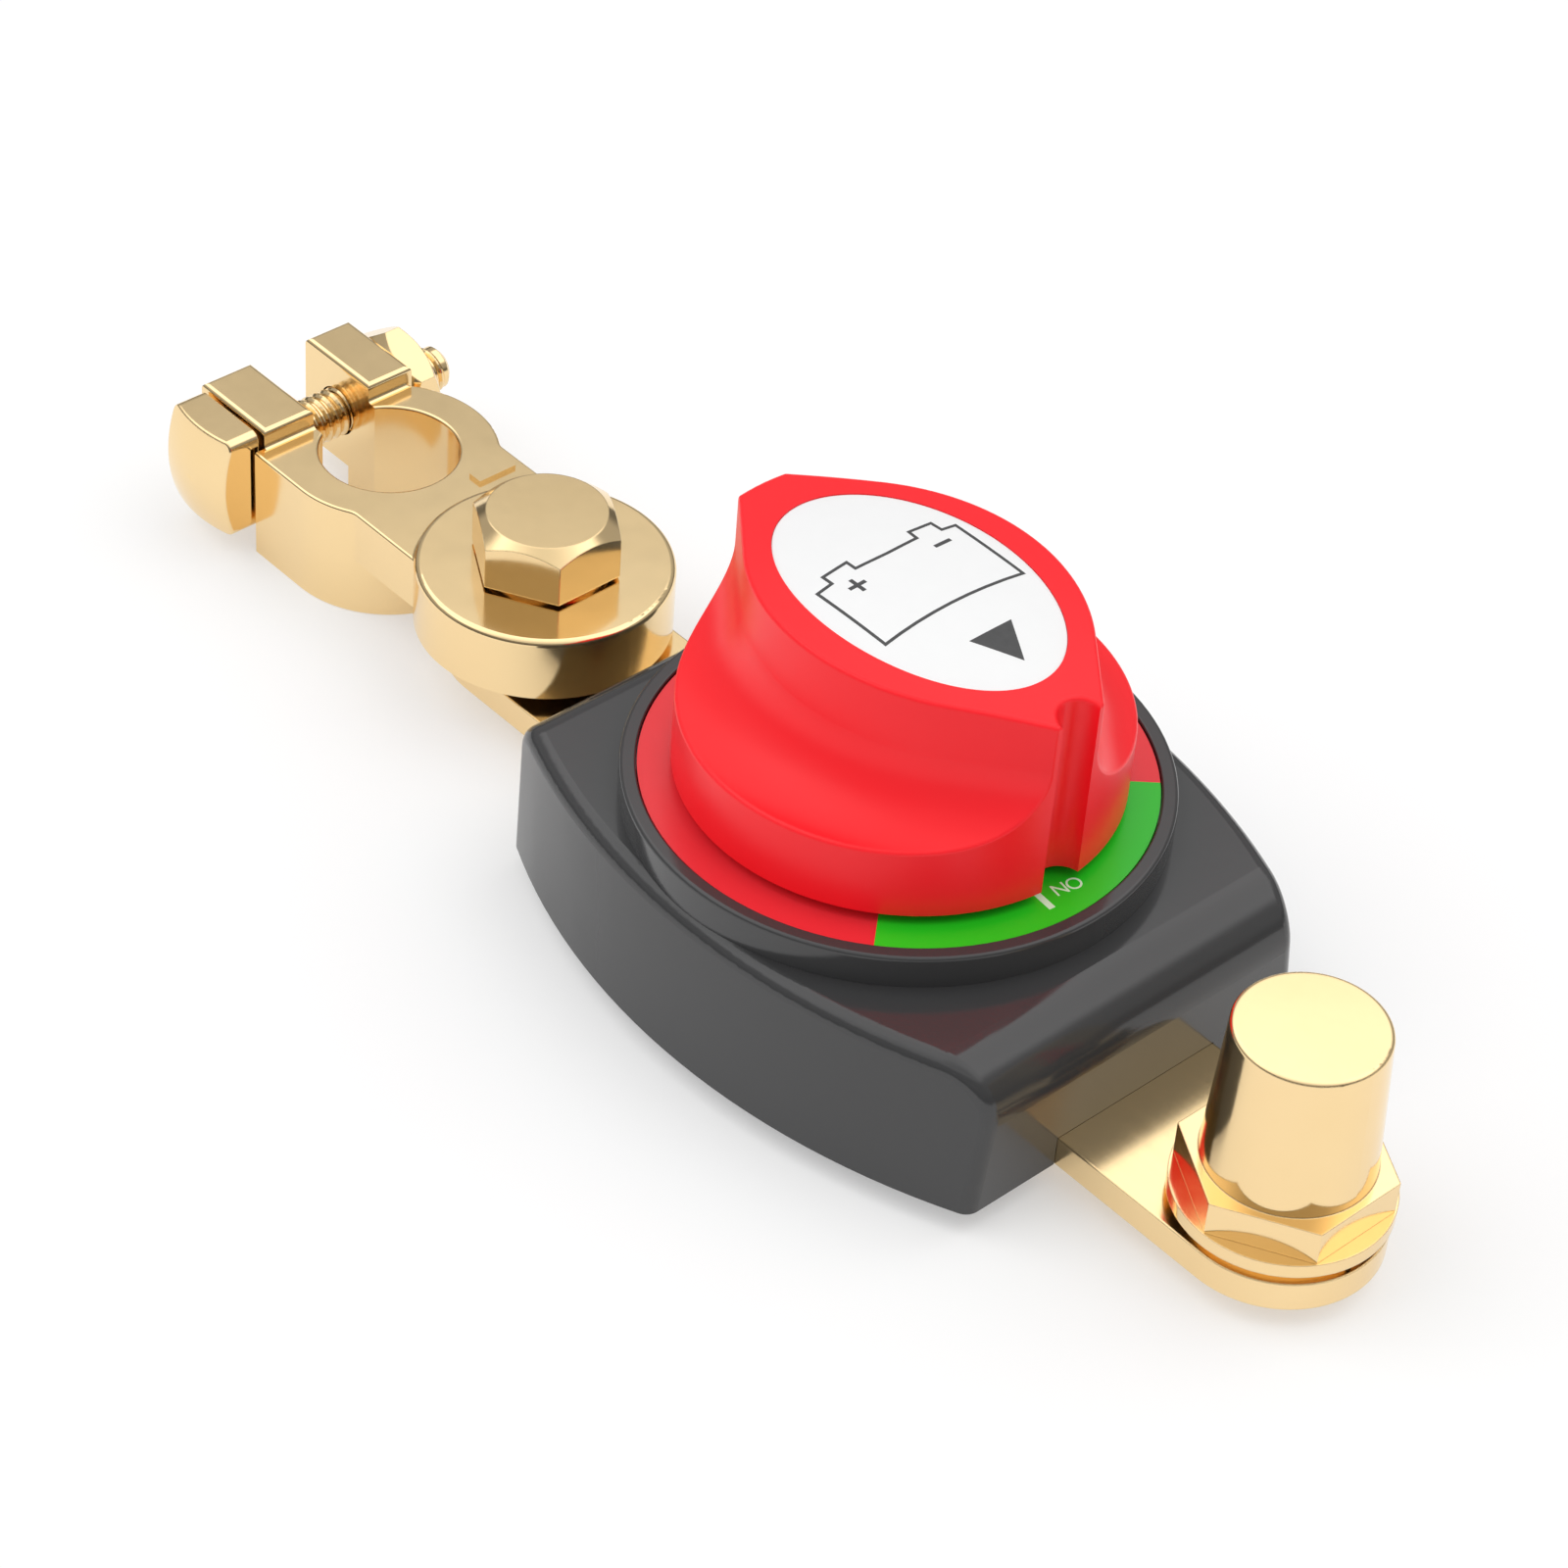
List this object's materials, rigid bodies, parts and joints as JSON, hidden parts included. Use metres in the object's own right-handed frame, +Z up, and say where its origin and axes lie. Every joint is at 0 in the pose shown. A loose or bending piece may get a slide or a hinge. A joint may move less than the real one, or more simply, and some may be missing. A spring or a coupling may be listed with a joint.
{
  "type": "battery terminal disconnect switch",
  "caption": "Battery terminal disconnect switch: post clamp on a swivelling arm, brass bars, grey housing with a red rotary knob, and an outer tapered post.",
  "frame": {"origin": "on the knob's axis, level with the underside of the bars and of the housing", "axes": "+X from the battery clamp to the outer post, +Z up along the knob's axis, +Y to the clamp bolt's nut"},
  "size_m": [0.1922, 0.0688, 0.0526],
  "materials": {
    "brass": "polished, mirror-like",
    "contact_brass": "plain turned",
    "spindle_brass": "plain turned",
    "steel": "plated",
    "housing_plastic": "glossy dark grey",
    "base_plastic": "fine matt dark grey",
    "carrier_plastic": "plain moulded",
    "knob_plastic": "glossy red",
    "dial_plastic": "red with a green field and white marks",
    "plate_plastic": "white with dark line drawing",
    "seal_rubber": "plain"
  },
  "bodies": {
    "housing": {"housing_cover": "housing_plastic", "base_plate": "base_plastic", "cover_gasket": "seal_rubber", "left_busbar": "brass", "right_busbar": "brass", "left_contact": "contact_brass", "right_contact": "contact_brass", "dial_ring": "dial_plastic", "spindle_seal": "seal_rubber", "thrust_washer": "steel", "cover_screws": "steel", "post_terminal": "brass", "post_lock_washer": "brass", "post_washer": "brass", "arm_screw": "brass", "arm_lock_washer": "brass"},
    "rotor": {"knob": "knob_plastic", "knob_plate": "plate_plastic", "knob_screw": "steel", "spindle": "spindle_brass", "contact_carrier": "carrier_plastic", "contact_bridge": "contact_brass", "contact_spring": "steel"},
    "clamp_arm": {"clamp_body": "brass", "clamp_bolt": "brass", "clamp_nut": "brass"}
  },
  "joints": [
    {"name": "knob_turn", "type": "hinge", "parent": "housing", "child": "rotor", "pos_m": [0, 0, 0.024], "axis": [0, 0, 1], "range_deg": [0, 90]},
    {"name": "clamp_swivel", "type": "hinge", "parent": "housing", "child": "clamp_arm", "pos_m": [-0.0625, 0, 0.0097], "axis": [0, 0, 1], "range_deg": [-90, 90]}
  ]
}
